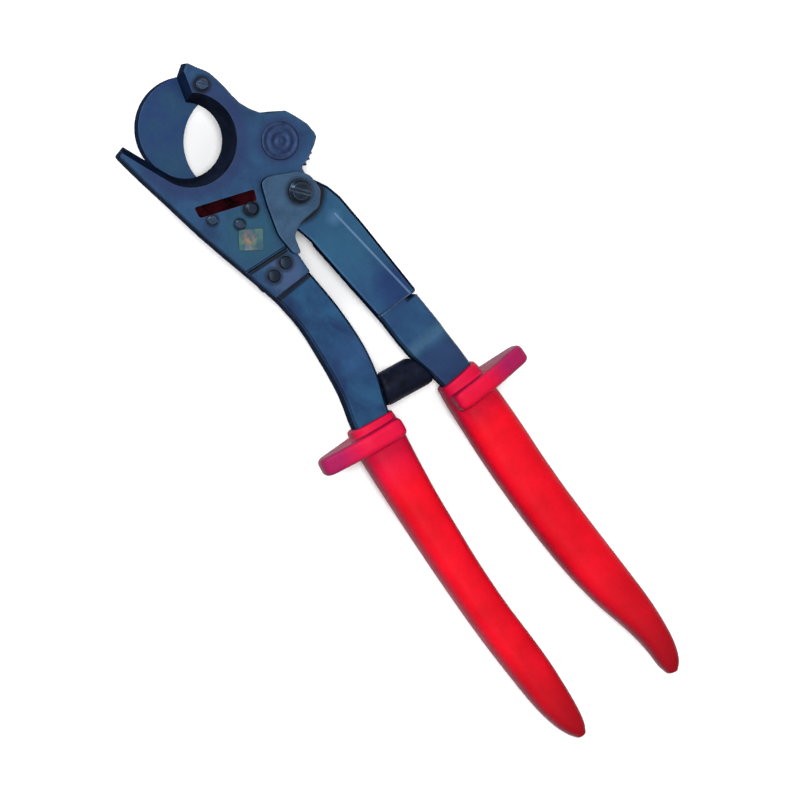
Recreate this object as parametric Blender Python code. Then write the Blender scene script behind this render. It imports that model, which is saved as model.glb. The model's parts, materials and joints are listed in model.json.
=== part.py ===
"""Ratcheting cable cutter, two handed, hook jaw, for cable up to 32 mm.

The tool lies on its back. +X runs from the grips to the jaw, +Y towards the
fixed handle and +Z out of the front face. Lengths below are millimetres and
are turned into metres when a mesh is made. The drawing point is the main
pivot; the whole tool is then moved so that the middle of its footprint is the
origin and its lowest face is z = 0.
"""

import math

import bmesh
import bpy
from mathutils import Matrix, Vector

MM = 0.001

# ---- where the drawing point (main pivot, rear face of the fixed jaw) goes ----
SHIFT = Vector((95.0, -15.185, 16.5))

# ---- layers through the thickness, front to back ----
FRONT_Z = 8.5           # front face of the jaw body
JAW_BACK_Z = 0.2        # shearing face of the fixed jaw
BLADE_TOP_Z = -0.1      # shearing face of the moving blade
BLADE_BACK_Z = -6.0
CHEEK_Z = (8.8, 11.4)
REAR_PLATE_Z = (-12.1, -9.1)
FORK_FRONT_Z = (0.2, 2.7)
FORK_REAR_Z = (-8.8, -6.3)
FORK_POCKET_Z = 3.0     # relief under the jaw body for the front fork leg
ARM_BAR_Z = (-6.0, -0.1)
FIXED_ARM_Z = (-8.8, -0.1)
FLOOR_Z = -16.5         # lowest faces: pivot nut and both guards
GRIP_MID_Z = -4.3

# ---- jaw ----
JAW_C = (19.4, 24.2)    # centre of the round jaw opening
JAW_EDGE_R = 12.9       # radius at the shearing edge
JAW_FACE_R = 16.1       # radius at the front face
FINGER_DEG = 21.0       # slope of the long lower finger
HOOK_DEG = -17.0        # slope of the hook's end face
BLADE_EDGE_C = (8.1, 10.7)
BLADE_EDGE_R = 18.0     # concave cutting edge of the sickle blade
BLADE_BACK_C = (21.9, 20.5)
BLADE_BACK_R = 17.6     # round back of the sickle blade

# ---- ratchet ----
TOOTH_PITCH_DEG = 9.0
TOOTH_TIP_R = 14.0
TOOTH_ROOT_R = 12.2
TOOTH_FIRST_DEG = 78.5
TOOTH_COUNT = 18
HUB_R = 11.3

# ---- pins ----
MAIN_BOLT_R = 4.0
HANDLE_PIVOT = (-17.2, 5.9)
HANDLE_PIVOT_R = 2.75
DRIVE_PIN = (-18.7, 13.8)
DRIVE_PIN_R = 1.5
HOLD_PIN = (-11.7, 22.3)
HOLD_PIN_R = 1.5
BODY_RIVETS = ((-33.4, 24.2), (-34.5, 30.2))
RIVET_R = 2.0
GAP = 0.3


for old in list(bpy.data.objects):
    bpy.data.objects.remove(old, do_unlink=True)


def make_material(name, colour, roughness, metallic):
    material = bpy.data.materials.new(name)
    material.use_nodes = True
    shader = material.node_tree.nodes["Principled BSDF"]
    shader.inputs["Base Color"].default_value = (*colour, 1.0)
    shader.inputs["Roughness"].default_value = roughness
    shader.inputs["Metallic"].default_value = metallic
    return material


JAW_STEEL = make_material("jaw_steel", (0.085, 0.105, 0.165), 0.42, 0.8)
BLADE_STEEL = make_material("blade_steel", (0.055, 0.115, 0.22), 0.38, 0.8)
ARM_STEEL = make_material("arm_steel", (0.04, 0.12, 0.19), 0.4, 0.8)
PLATE_STEEL = make_material("plate_steel", (0.14, 0.17, 0.21), 0.42, 0.8)
PIN_STEEL = make_material("pin_steel", (0.10, 0.11, 0.13), 0.35, 0.9)
SPRING_STEEL = make_material("spring_steel", (0.30, 0.31, 0.33), 0.3, 1.0)
BRONZE = make_material("bronze", (0.45, 0.27, 0.10), 0.4, 1.0)
RED_VINYL = make_material("red_vinyl", (0.62, 0.012, 0.02), 0.45, 0.0)
BLACK_RUBBER = make_material("black_rubber", (0.012, 0.012, 0.014), 0.6, 0.0)
LABEL_FILM = make_material("label_film", (0.50, 0.46, 0.30), 0.5, 0.0)


# ---------------------------------------------------------------- helpers
def polar(centre, radius, degrees):
    angle = math.radians(degrees)
    return (centre[0] + radius * math.cos(angle), centre[1] + radius * math.sin(angle))


def arc(centre, radius, start, end, count):
    """count + 1 points along an arc, from start to end degrees."""
    return [
        polar(centre, radius, start + (end - start) * i / count)
        for i in range(count + 1)
    ]


def rounded(points, radius, count=3):
    """A closed outline with each sharp corner turned into a short curve."""
    out = []
    total = len(points)
    for i, corner in enumerate(points):
        p = Vector(corner)
        before = Vector(points[i - 1]) - p
        after = Vector(points[(i + 1) % total]) - p
        bend = before.angle(after)
        reach = min(radius, before.length * 0.45, after.length * 0.45)
        if bend > math.radians(165) or reach < 0.05:
            out.append(tuple(p))
            continue
        a = p + before.normalized() * reach
        b = p + after.normalized() * reach
        for k in range(count + 1):
            t = k / count
            q = a * (1 - t) ** 2 + p * 2 * t * (1 - t) + b * t**2
            out.append(tuple(q))
    return out


def through(points, count=3):
    """An open smooth line through the points (Catmull-Rom)."""
    pts = [Vector(p) for p in points]
    pts = [pts[0] * 2 - pts[1]] + pts + [pts[-1] * 2 - pts[-2]]
    out = []
    for i in range(1, len(pts) - 2):
        a, b, c, d = pts[i - 1 : i + 3]
        for k in range(count):
            t = k / count
            q = 0.5 * (
                2 * b
                + (c - a) * t
                + (2 * a - 5 * b + 4 * c - d) * t * t
                + (3 * b - a - 3 * c + d) * t**3
            )
            out.append(tuple(q))
    out.append(tuple(pts[-2]))
    return out


def area(points):
    return 0.5 * sum(
        p[0] * q[1] - q[0] * p[1] for p, q in zip(points, points[1:] + points[:1])
    )


def tidy(points, least=0.03):
    out = []
    for p in points:
        if not out or math.dist(p, out[-1]) > least:
            out.append(p)
    if math.dist(out[0], out[-1]) <= least:
        out.pop()
    return out


def place(x, y, z):
    return (Vector((x, y, z)) + SHIFT) * MM


def new_object(name, bm, material, smooth=35.0, pivot=(0.0, 0.0, 0.0)):
    """Links a mesh drawn in metres, with its origin on its own axis."""
    origin = place(*pivot)
    bmesh.ops.translate(bm, verts=bm.verts, vec=-origin)
    bmesh.ops.recalc_face_normals(bm, faces=bm.faces)
    mesh = bpy.data.meshes.new(name)
    bm.to_mesh(mesh)
    bm.free()
    mesh.shade_smooth()
    mesh.set_sharp_from_angle(angle=math.radians(smooth))
    obj = bpy.data.objects.new(name, mesh)
    bpy.context.scene.collection.objects.link(obj)
    obj.location = origin
    if material is None:
        obj.hide_render = True
        obj.display_type = "WIRE"
    else:
        mesh.materials.append(material)
    return obj


def prism_mesh(points, z0, z1):
    points = tidy(points)
    if area(points) < 0:
        points = points[::-1]
    bm = bmesh.new()
    low = [bm.verts.new(place(x, y, z0)) for x, y in points]
    face = bm.faces.new(low[::-1])
    done = bmesh.ops.extrude_face_region(bm, geom=[face])
    top = [v for v in done["geom"] if isinstance(v, bmesh.types.BMVert)]
    bmesh.ops.translate(bm, verts=top, vec=(0, 0, (z1 - z0) * MM))
    return bm


def loft_mesh(rings):
    """Closed solid through rings of equally many 3-D points, in order."""
    bm = bmesh.new()
    loops = [[bm.verts.new(place(*p)) for p in ring] for ring in rings]
    bm.faces.new(loops[0][::-1])
    bm.faces.new(loops[-1])
    for lower, upper in zip(loops, loops[1:]):
        count = len(lower)
        for i in range(count):
            j = (i + 1) % count
            bm.faces.new((lower[i], lower[j], upper[j], upper[i]))
    return bm


def turned_mesh(x, y, profile, count=24):
    """Closed solid of revolution about a Z line; profile runs (radius, z), axis to axis."""
    bm = bmesh.new()
    verts = [bm.verts.new(place(x + r, y, z)) for r, z in profile]
    edges = [bm.edges.new(pair) for pair in zip(verts, verts[1:])]
    bmesh.ops.spin(
        bm,
        geom=verts + edges,
        cent=place(x, y, 0),
        axis=(0, 0, 1),
        angle=math.tau,
        steps=count,
        use_merge=True,
    )
    bmesh.ops.remove_doubles(bm, verts=bm.verts, dist=1e-6)
    return bm


def ring_mesh(x, y, inner, outer, z0, z1, count=28):
    """A washer or bush: a closed square-section ring."""
    bm = bmesh.new()
    corners = [(inner, z0), (outer, z0), (outer, z1), (inner, z1)]
    verts = [bm.verts.new(place(x + r, y, z)) for r, z in corners]
    edges = [bm.edges.new((verts[i], verts[(i + 1) % 4])) for i in range(4)]
    bmesh.ops.spin(
        bm,
        geom=verts + edges,
        cent=place(x, y, 0),
        axis=(0, 0, 1),
        angle=math.tau,
        steps=count,
        use_merge=True,
    )
    bmesh.ops.remove_doubles(bm, verts=bm.verts, dist=1e-6)
    return bm


def cut(obj, cutter):
    modifier = obj.modifiers.new("cut_" + cutter.name, "BOOLEAN")
    modifier.operation = "DIFFERENCE"
    modifier.solver = "EXACT"
    modifier.object = cutter


def add(obj, other):
    modifier = obj.modifiers.new("join_" + other.name, "BOOLEAN")
    modifier.operation = "UNION"
    modifier.solver = "EXACT"
    modifier.object = other


def soften(obj, width, segments=1, angle=40.0):
    modifier = obj.modifiers.new("edge", "BEVEL")
    modifier.width = width * MM
    modifier.segments = segments
    modifier.limit_method = "ANGLE"
    modifier.angle_limit = math.radians(angle)
    modifier.miter_outer = "MITER_SHARP"


def drill(obj, name, x, y, radius, z0, z1, count=20):
    profile = [(0, z0), (radius, z0), (radius, z1), (0, z1)]
    cut(obj, new_object(name, turned_mesh(x, y, profile, count), None))


# ---------------------------------------------------------------- fixed jaw
def jaw_space(radius, z):
    """Outline of the jaw opening, open towards the finger tip and the hook end."""
    points = arc(JAW_C, radius, -40.0, -249.0, 34)
    slope = (math.cos(math.radians(FINGER_DEG)), math.sin(math.radians(FINGER_DEG)))
    leave = points[-1]
    points.append((leave[0] + 30 * slope[0], leave[1] + 30 * slope[1]))
    points.append((68.0, 40.0))
    hook = (math.cos(math.radians(HOOK_DEG)), math.sin(math.radians(HOOK_DEG)))
    points.append((points[0][0] + 32 * hook[0], points[0][1] + 32 * hook[1]))
    return [(x, y, z) for x, y in points]


body_outline = (
    [(30.4, 47.0)]
    + through([(29.0, 47.0), (18.8, 45.6), (5.7, 43.3), (-9.2, 40.9), (-26.1, 37.3), (-41.0, 34.0)], 2)
    + [(-41.4, 19.2), (-33.6, 18.8), (-28.2, 17.6), (-25.6, 13.2), (-25.2, 4.2), (-22.0, 0.9), (-15.6, 0.2)]
    + arc((0, 0), 11.6, 183.0, 213.0, 4)
    + [polar((0, 0), 12.2, 225.0), polar((0, 0), 13.0, 238.0), polar((0, 0), 12.6, 245.0), polar((0, 0), 11.4, 262.0)]
    + through([(1.6, -10.2), (7.0, -7.8), (8.8, -4.4), (12.0, -0.4), (18.7, 2.9), (26.5, 3.7), (33.2, 4.9), (36.8, 6.9)], 2)
    + [(40.8, 9.0), (36.8, 15.2)]
)
fixed_blade = new_object(
    "fixed_blade", prism_mesh(body_outline, JAW_BACK_Z, FRONT_Z), JAW_STEEL
)
soften(fixed_blade, 0.5)
taper = (JAW_FACE_R - JAW_EDGE_R) / (FRONT_Z - JAW_BACK_Z)
jaw_cutter = new_object(
    "jaw_space_cutter",
    loft_mesh(
        [
            jaw_space(JAW_EDGE_R - taper * 0.8, JAW_BACK_Z - 0.8),
            jaw_space(JAW_FACE_R + taper * 0.8, FRONT_Z + 0.8),
        ]
    ),
    None,
)
cut(fixed_blade, jaw_cutter)
# long recess between the jaw rim and the body
slot = rounded([(0.9, 37.6), (-7.2, 17.2), (-10.9, 18.9), (-3.2, 38.3)], 1.0)
cut(fixed_blade, new_object("slot_cutter", prism_mesh(slot, 2.6, 9.5), None))
# relief for the front fork leg
sector = [HANDLE_PIVOT] + arc(HANDLE_PIVOT, 13.1, 44.0, 278.0, 24)
cut(fixed_blade, new_object("fork_relief_cutter", prism_mesh(sector, -1.0, FORK_POCKET_Z), None))
drill(fixed_blade, "fork_relief_round_cutter", *HANDLE_PIVOT, 7.9, -1.0, FORK_POCKET_Z, 28)
# groove across the body above the rivets
groove = [(-26.8, 39.5), (-29.4, 15.0), (-30.6, 15.0), (-28.0, 39.5)]
cut(fixed_blade, new_object("groove_cutter", prism_mesh(groove, 7.4, 9.5), None))
drill(fixed_blade, "main_bore_cutter", 0, 0, MAIN_BOLT_R + GAP, -2, 10, 24)
drill(fixed_blade, "handle_bore_cutter", *HANDLE_PIVOT, HANDLE_PIVOT_R + GAP, -2, 10)
drill(fixed_blade, "hold_bore_cutter", *HOLD_PIN, HOLD_PIN_R + GAP, -2, 10, 16)
for index, (x, y) in enumerate(BODY_RIVETS):
    drill(fixed_blade, f"body_rivet_bore_cutter_{index}", x, y, RIVET_R + GAP, -2, 10, 16)
SMALL_SCREWS = ((-13.4, 28.6), (-6.4, 35.2))
for index, (x, y) in enumerate(SMALL_SCREWS):
    drill(fixed_blade, f"small_screw_bore_cutter_{index}", x, y, 1.5, 3.0, 10, 14)
ADJUST_SCREW = (31.8, 9.6)
drill(fixed_blade, "adjust_bore_cutter", *ADJUST_SCREW, 1.8, -2, 10, 16)

# ---------------------------------------------------------------- moving blade
teeth = []
for k in range(TOOTH_COUNT):
    low = TOOTH_FIRST_DEG + k * TOOTH_PITCH_DEG
    teeth.append(polar((0, 0), TOOTH_ROOT_R, low))
    teeth.append(polar((0, 0), TOOTH_TIP_R, low + 0.3))
    teeth.append(polar((0, 0), TOOTH_TIP_R, low + 2.2))
last = TOOTH_FIRST_DEG + TOOTH_COUNT * TOOTH_PITCH_DEG
throat_r = 4.5
throat = polar(BLADE_EDGE_C, BLADE_EDGE_R - throat_r, 10.0)
edge_line = (
    arc(BLADE_EDGE_C, BLADE_EDGE_R, 96.0, 10.0, 18)
    + arc(throat, throat_r, 10.0, -82.0, 7)[1:]
    + [(14.4, 8.9)]
)
back_line = (
    arc((0, 0), HUB_R, last, 300.0, 8)
    + through([(8.6, -5.6), (12.2, -0.4), (18.6, 3.0), (26.0, 3.5), (33.2, 6.2)], 3)
    + arc(BLADE_BACK_C, BLADE_BACK_R, -45.0, 146.0, 32)
)
blade_outline = teeth + back_line + edge_line + arc((0, 0), HUB_R, 46.0, TOOTH_FIRST_DEG - 4, 4)
moving_blade = new_object(
    "moving_blade", prism_mesh(blade_outline, BLADE_BACK_Z, BLADE_TOP_Z), BLADE_STEEL
)
drill(moving_blade, "blade_bore_cutter", 0, 0, 5.9, -8, 2, 28)

# ---------------------------------------------------------------- main pivot
main_bolt = new_object(
    "main_pivot_bolt",
    turned_mesh(
        0,
        0,
        [
            (0, 9.5), (5.9, 9.5), (6.6, 9.2), (6.6, 8.8),
            (MAIN_BOLT_R, 8.8), (MAIN_BOLT_R, -16.2), (3.6, -16.5), (0, -16.5),
        ],
        32,
    ),
    PIN_STEEL,
)
nut_outline = [polar((0, 0), 7.5, 30 + 60 * k) for k in range(6)]
main_nut = new_object(
    "main_pivot_nut", prism_mesh(nut_outline, FLOOR_Z, REAR_PLATE_Z[0] - GAP), PIN_STEEL
)
drill(main_nut, "nut_bore_cutter", 0, 0, MAIN_BOLT_R + GAP, -18, -11, 24)
new_object("blade_thrust_washer", ring_mesh(0, 0, 4.3, 8.6, -8.8, -6.3), PIN_STEEL)
new_object("blade_pivot_bush", ring_mesh(0, 0, 4.3, 5.6, -6.0, -0.1), BRONZE)

# ---------------------------------------------------------------- side plates
cheek_outline = rounded(
    [
        (-6.6, 14.6), (-6.3, 11.4), (-11.6, 1.6), (-15.6, -0.6), (-21.4, -0.4), (-25.6, 3.6),
        (-25.8, 12.4), (-28.0, 16.6), (-34.2, 18.4), (-32.6, 20.6), (-24.4, 20.9), (-13.8, 17.6),
    ],
    1.5,
)
front_cheek = new_object(
    "front_cheek_plate", prism_mesh(cheek_outline, *CHEEK_Z), PLATE_STEEL
)
soften(front_cheek, 0.5)
drill(front_cheek, "cheek_bore_cutter", *HANDLE_PIVOT, HANDLE_PIVOT_R + GAP, 7, 13)

rear_outline = rounded(
    arc((0, 0), 9.5, 222.0, 402.0, 12)
    + [(3.0, 14.0), (-4.0, 27.0), (-14.0, 32.2), (-27.0, 33.6), (-40.2, 32.6), (-40.6, 20.2), (-31.0, 18.8),
       (-26.2, 12.6), (-25.4, 4.0), (-21.4, -0.2), (-12.0, -4.6)],
    1.6,
)
rear_plate = new_object(
    "rear_side_plate", prism_mesh(rear_outline, *REAR_PLATE_Z), PLATE_STEEL
)
soften(rear_plate, 0.4)
drill(rear_plate, "rear_main_bore_cutter", 0, 0, MAIN_BOLT_R + GAP, -14, -8, 24)
drill(rear_plate, "rear_handle_bore_cutter", *HANDLE_PIVOT, HANDLE_PIVOT_R + GAP, -14, -8)
drill(rear_plate, "rear_hold_bore_cutter", *HOLD_PIN, HOLD_PIN_R + GAP, -14, -8, 16)
for index, (x, y) in enumerate(BODY_RIVETS):
    drill(rear_plate, f"rear_rivet_bore_cutter_{index}", x, y, RIVET_R + GAP, -14, -8, 16)

# ---------------------------------------------------------------- fixed arm
FIXED_OUTER = [(-44.6, 31.9), (-56.0, 31.2), (-69.0, 32.4), (-83.0, 34.6), (-96.0, 38.4), (-112.0, 40.2), (-140.0, 42.0), (-170.0, 43.1), (-196.0, 43.6)]
FIXED_INNER = [(-43.6, 17.6), (-54.0, 17.1), (-63.0, 17.2), (-74.0, 18.1), (-85.0, 20.7), (-96.0, 25.0), (-112.0, 28.8), (-140.0, 32.6), (-170.0, 35.6), (-196.0, 37.0)]
fixed_arm_outline = (
    [(-27.4, 35.2)] + through(FIXED_OUTER, 3) + through(FIXED_INNER[::-1], 3) + [(-34.0, 19.6), (-30.4, 20.4), (-27.4, 22.4)]
)
fixed_arm = new_object("fixed_arm", prism_mesh(fixed_arm_outline, *FIXED_ARM_Z), ARM_STEEL)
soften(fixed_arm, 0.9)
for index, (x, y) in enumerate(BODY_RIVETS):
    drill(fixed_arm, f"arm_rivet_bore_cutter_{index}", x, y, RIVET_R + GAP, -10, 1, 16)

# ---------------------------------------------------------------- moving arm
MOVING_INNER = [(-72.0, 7.9), (-86.0, 7.6), (-100.0, 5.0), (-112.0, 4.8), (-140.0, 6.4), (-170.0, 6.8), (-190.0, 5.6)]
MOVING_OUTER = [(-71.0, -7.3), (-86.0, -7.7), (-100.0, -7.7), (-112.0, -6.6), (-140.0, -4.4), (-170.0, -3.2), (-190.0, -3.2)]
moving_arm_outline = (
    [(-36.0, 10.4)]
    + through(MOVING_INNER, 3)
    + through(MOVING_OUTER[::-1], 3)
    + [(-71.0, -3.6), (-36.0, -2.8)]
)
moving_mesh = prism_mesh(moving_arm_outline, *ARM_BAR_Z)
for x in (-84.6, -88.4):
    bmesh.ops.bisect_plane(
        moving_mesh,
        geom=list(moving_mesh.verts) + list(moving_mesh.edges) + list(moving_mesh.faces),
        plane_co=place(x, 0, 0),
        plane_no=(1, 0, 0),
        dist=1e-7,
    )
bend_from, bend_to = place(-84.6, 0, 0).x, place(-88.4, 0, 0).x
for vert in moving_mesh.verts:
    share = min(max((bend_from - vert.co.x) / (bend_from - bend_to), 0.0), 1.0)
    vert.co.z -= share * 1.0 * MM
moving_arm = new_object("moving_arm", moving_mesh, ARM_STEEL, pivot=(*HANDLE_PIVOT, 0))
soften(moving_arm, 0.9)

# folded channel whose two legs straddle the ratchet and carry the drive pawl
channel_outline = (
    [(-69.2, 8.6), (-52.0, 10.0), (-34.0, 11.2), (-27.6, 12.6), (-22.8, 15.6)]
    + arc(DRIVE_PIN, 3.9, 150.0, 20.0, 6)
    + arc(HANDLE_PIVOT, 7.4, 48.0, -70.0, 9)
    + [(-18.6, -3.0), (-23.4, -5.0), (-28.6, -6.2), (-41.0, -6.8), (-70.4, -7.4)]
)
channel = new_object(
    "moving_arm_channel",
    prism_mesh(channel_outline, FORK_REAR_Z[0], FORK_FRONT_Z[1]),
    ARM_STEEL,
    pivot=(*HANDLE_PIVOT, 0),
)
bend = channel.modifiers.new("bend", "BEVEL")
bend.width = 1.0 * MM
bend.segments = 2
bend.limit_method = "ANGLE"
bend.angle_limit = math.radians(60)
inside = [
    (-75.0, 20.0), (-5.0, 26.0), (-5.0, -12.0), (-21.0, -12.0), (-21.0, -2.4), (-24.2, -2.1), (-30.0, -3.1), (-41.0, -3.4), (-75.0, -4.0),
]
cut(channel, new_object("channel_inside_cutter", prism_mesh(inside, FORK_REAR_Z[1], FORK_FRONT_Z[0]), None))
# the rear leg is narrower than the front one on the side between the handles
rear_trim = [(-75.0, 6.2), (-69.2, 6.3), (-52.0, 7.6), (-34.0, 8.8), (-29.5, 9.9), (-26.5, 12.0), (-26.5, 22.0), (-75.0, 22.0)]
cut(channel, new_object("channel_rear_trim_cutter", prism_mesh(rear_trim, FORK_REAR_Z[0] - 1.0, FORK_REAR_Z[1] + 0.5), None))
drill(channel, "channel_handle_bore_cutter", *HANDLE_PIVOT, HANDLE_PIVOT_R + GAP, -10, 4)
drill(channel, "channel_drive_bore_cutter", *DRIVE_PIN, DRIVE_PIN_R + GAP, -10, 4, 16)

# ---------------------------------------------------------------- handle pivot screws
def slotted_screw(name, x, y, head_r, shank_r, head_z, under_z, end_z):
    """A round-head screw; head_z is the outer face of its head."""
    way = 1 if head_z > under_z else -1
    depth = min(0.9, 0.5 * abs(head_z - under_z))
    obj = new_object(
        name,
        turned_mesh(
            x,
            y,
            [
                (0, head_z), (head_r * 0.72, head_z), (head_r, head_z - way * depth),
                (head_r, under_z), (shank_r, under_z), (shank_r, end_z), (0, end_z),
            ],
            24,
        ),
        PIN_STEEL,
    )
    half = 0.11 * head_r + 0.15
    turn = math.radians(38)
    c, s = math.cos(turn), math.sin(turn)
    corners = [(-head_r - 1, -half), (head_r + 1, -half), (head_r + 1, half), (-head_r - 1, half)]
    corners = [(x + c * a - s * b, y + s * a + c * b) for a, b in corners]
    low, high = sorted((head_z - way * depth, head_z + way * 1.0))
    cut(obj, new_object(name + "_slot_cutter", prism_mesh(corners, low, high), None))
    return obj


slotted_screw("handle_pivot_screw_front", *HANDLE_PIVOT, 4.1, HANDLE_PIVOT_R, 14.2, CHEEK_Z[1] + GAP, 0.3)
slotted_screw("handle_pivot_screw_rear", *HANDLE_PIVOT, 4.1, HANDLE_PIVOT_R, -14.8, REAR_PLATE_Z[0] - GAP, -6.4)
slotted_screw("blade_adjusting_screw", *ADJUST_SCREW, 2.2, 1.5, 10.6, FRONT_Z + GAP, 0.3)
for index, (x, y) in enumerate(SMALL_SCREWS):
    slotted_screw(f"body_cover_screw_{index + 1}", x, y, 1.9, 1.2, 9.6, FRONT_Z + GAP, 3.4)

# ---------------------------------------------------------------- pawls
def lever(name, pin, tip, eye_r, tip_r, z0, z1, bore):
    """A pawl: a round eye that narrows to a small rounded nose."""
    heading = math.degrees(math.atan2(tip[1] - pin[1], tip[0] - pin[0]))
    outline = arc(pin, eye_r, heading + 78, heading + 282, 12)
    outline += arc(tip, tip_r, heading - 70, heading + 70, 5)
    obj = new_object(name, prism_mesh(outline, z0, z1), PIN_STEEL, pivot=(*pin, 0))
    drill(obj, name + "_bore_cutter", *pin, bore, z0 - 1, z1 + 1, 16)
    return obj


DRIVE_TIP = polar((0, 0), 15.15, 161.0)
HOLD_TIP = polar((0, 0), 15.05, 141.0)
lever("drive_pawl", DRIVE_PIN, DRIVE_TIP, 2.9, 0.75, -2.9, -0.3, DRIVE_PIN_R + GAP)
lever("holding_pawl", HOLD_PIN, HOLD_TIP, 3.0, 0.75, -5.8, -3.2, HOLD_PIN_R + GAP)

new_object(
    "drive_pawl_pin",
    turned_mesh(*DRIVE_PIN, [(0, 2.7), (DRIVE_PIN_R - 0.2, 2.7), (DRIVE_PIN_R, 2.5), (DRIVE_PIN_R, -8.6), (DRIVE_PIN_R - 0.2, -8.8), (0, -8.8)], 16),
    PIN_STEEL,
    pivot=(*DRIVE_PIN, 0),
)
new_object(
    "holding_pawl_pin",
    turned_mesh(
        *HOLD_PIN,
        [(0, 10.9), (1.5, 10.9), (2.5, 10.2), (2.5, 8.8), (HOLD_PIN_R, 8.8), (HOLD_PIN_R, -13.6), (HOLD_PIN_R - 0.3, -13.9), (0, -13.9)],
        20,
    ),
    PIN_STEEL,
)
new_object("holding_pawl_pin_clip", ring_mesh(*HOLD_PIN, 1.8, 3.2, -13.3, -12.4, 20), SPRING_STEEL)


def wound_spring(name, x, y, radius, wire, z0, z1, turns, leg, start):
    """A torsion spring: coils round a pin and two straight legs."""
    steps = int(turns * 12)
    path = []
    for i in range(steps + 1):
        a = math.radians(start) + math.tau * turns * i / steps
        z = z0 + wire + (z1 - z0 - 2 * wire) * i / steps
        path.append(Vector((x + radius * math.cos(a), y + radius * math.sin(a), z)))
    first, last_point = path[0], path[-1]
    a0 = math.radians(start)
    a1 = a0 + math.tau * turns
    path.insert(0, first + Vector((math.sin(a0), -math.cos(a0), 0)) * leg)
    path.append(last_point + Vector((-math.sin(a1), math.cos(a1), 0)) * leg)
    sides = 6
    rings = []
    for i, point in enumerate(path):
        ahead = path[min(i + 1, len(path) - 1)] - path[max(i - 1, 0)]
        ahead.normalize()
        side = ahead.cross(Vector((0, 0, 1))).normalized()
        up = side.cross(ahead)
        rings.append(
            [
                tuple(point + (side * math.cos(math.tau * k / sides) + up * math.sin(math.tau * k / sides)) * wire)
                for k in range(sides)
            ]
        )
    return new_object(name, loft_mesh(rings), SPRING_STEEL)


wound_spring("drive_pawl_spring", *DRIVE_PIN, 2.25, 0.3, -5.9, -3.3, 2.5, 2.5, 200)
wound_spring("holding_pawl_spring", *HOLD_PIN, 2.25, 0.3, -2.9, -0.3, 2.5, 2.5, 20)

# ---------------------------------------------------------------- rivets
for index, (x, y) in enumerate(BODY_RIVETS):
    new_object(
        f"body_rivet_{index + 1}",
        turned_mesh(
            x,
            y,
            [
                (0, 9.8), (1.8, 9.7), (2.9, 9.2), (2.9, 8.8), (RIVET_R, 8.8), (RIVET_R, -12.4),
                (2.4, -12.4), (2.4, -12.8), (1.7, -13.2), (0, -13.3),
            ],
            20,
        ),
        PIN_STEEL,
    )

# ---------------------------------------------------------------- label
label_outline = rounded([(-14.6, 30.2), (-19.4, 23.2), (-25.2, 27.6), (-20.2, 34.4)], 0.6, 2)
new_object("rating_label", prism_mesh(label_outline, 8.8, 9.05), LABEL_FILM)

# ---------------------------------------------------------------- bumper
bumper_axis = (Vector((-90.3, 22.5)), Vector((-93.0, 8.0)))
heading = (bumper_axis[1] - bumper_axis[0]).normalized()
across = Vector((-heading.y, heading.x))
BUMPER_R = 5.85
BUMPER_Z = -4.4


def along_to_line(start, line_a, line_b, back):
    """Distance along the bumper's heading from start to a line, less a gap."""
    line = line_b - line_a
    normal = Vector((-line.y, line.x)).normalized()
    return (line_a - start).dot(normal) / heading.dot(normal) - back


fixed_edge = (Vector((-85.0, 20.7)), Vector((-96.0, 25.0)))
moving_edge = (Vector((-86.0, 7.6)), Vector((-100.0, 5.0)))
rings = []
for end in (0, 0.12, 0.88, 1):
    ring = []
    for k in range(24):
        a = math.tau * k / 24
        shrink = 0.9 if end in (0, 1) else 1.0
        offset = BUMPER_R * shrink * math.cos(a)
        start = bumper_axis[0] + across * offset
        near = along_to_line(start, *fixed_edge, 0) + 0.45
        far = along_to_line(start, *moving_edge, 0.55)
        where = start + heading * (near + (far - near) * end)
        ring.append((where.x, where.y, BUMPER_Z + BUMPER_R * shrink * math.sin(a)))
    rings.append(ring)
bumper = new_object("bumper", loft_mesh(rings), BLACK_RUBBER)

turn = math.atan2(heading.y, heading.x)


def cross_rod(name, material, start, length, radius, count=16):
    """A plain round rod lying along the bumper's heading."""
    rings = []
    for step in (0.0, length):
        ring = []
        for k in range(count):
            a = math.tau * k / count
            where = start + heading * step + across * radius * math.cos(a)
            ring.append((where.x, where.y, BUMPER_Z + radius * math.sin(a)))
        rings.append(ring)
    return new_object(name, loft_mesh(rings), material)


stud_start = bumper_axis[0] - heading * 6.0
cross_rod("bumper_stud", PIN_STEEL, stud_start, 13.0, 1.6)
stud_hole = cross_rod("bumper_stud_cutter", None, stud_start - heading * 0.3, 13.6, 1.9)
cut(bumper, stud_hole)
cut(fixed_arm, stud_hole)

# ---------------------------------------------------------------- grips
def section(centre, along, half_w, half_t, z, corner=0.62, count=20):
    """A soft rounded-rectangle section square to the handle's direction."""
    side = Vector((-along.y, along.x))
    ring = []
    for k in range(count):
        a = math.tau * k / count
        ca, sa = math.cos(a), math.sin(a)
        u = half_w * math.copysign(abs(ca) ** corner, ca)
        v = half_t * math.copysign(abs(sa) ** corner, sa)
        where = centre + side * u
        ring.append((where.x, where.y, z + v))
    return ring


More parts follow.
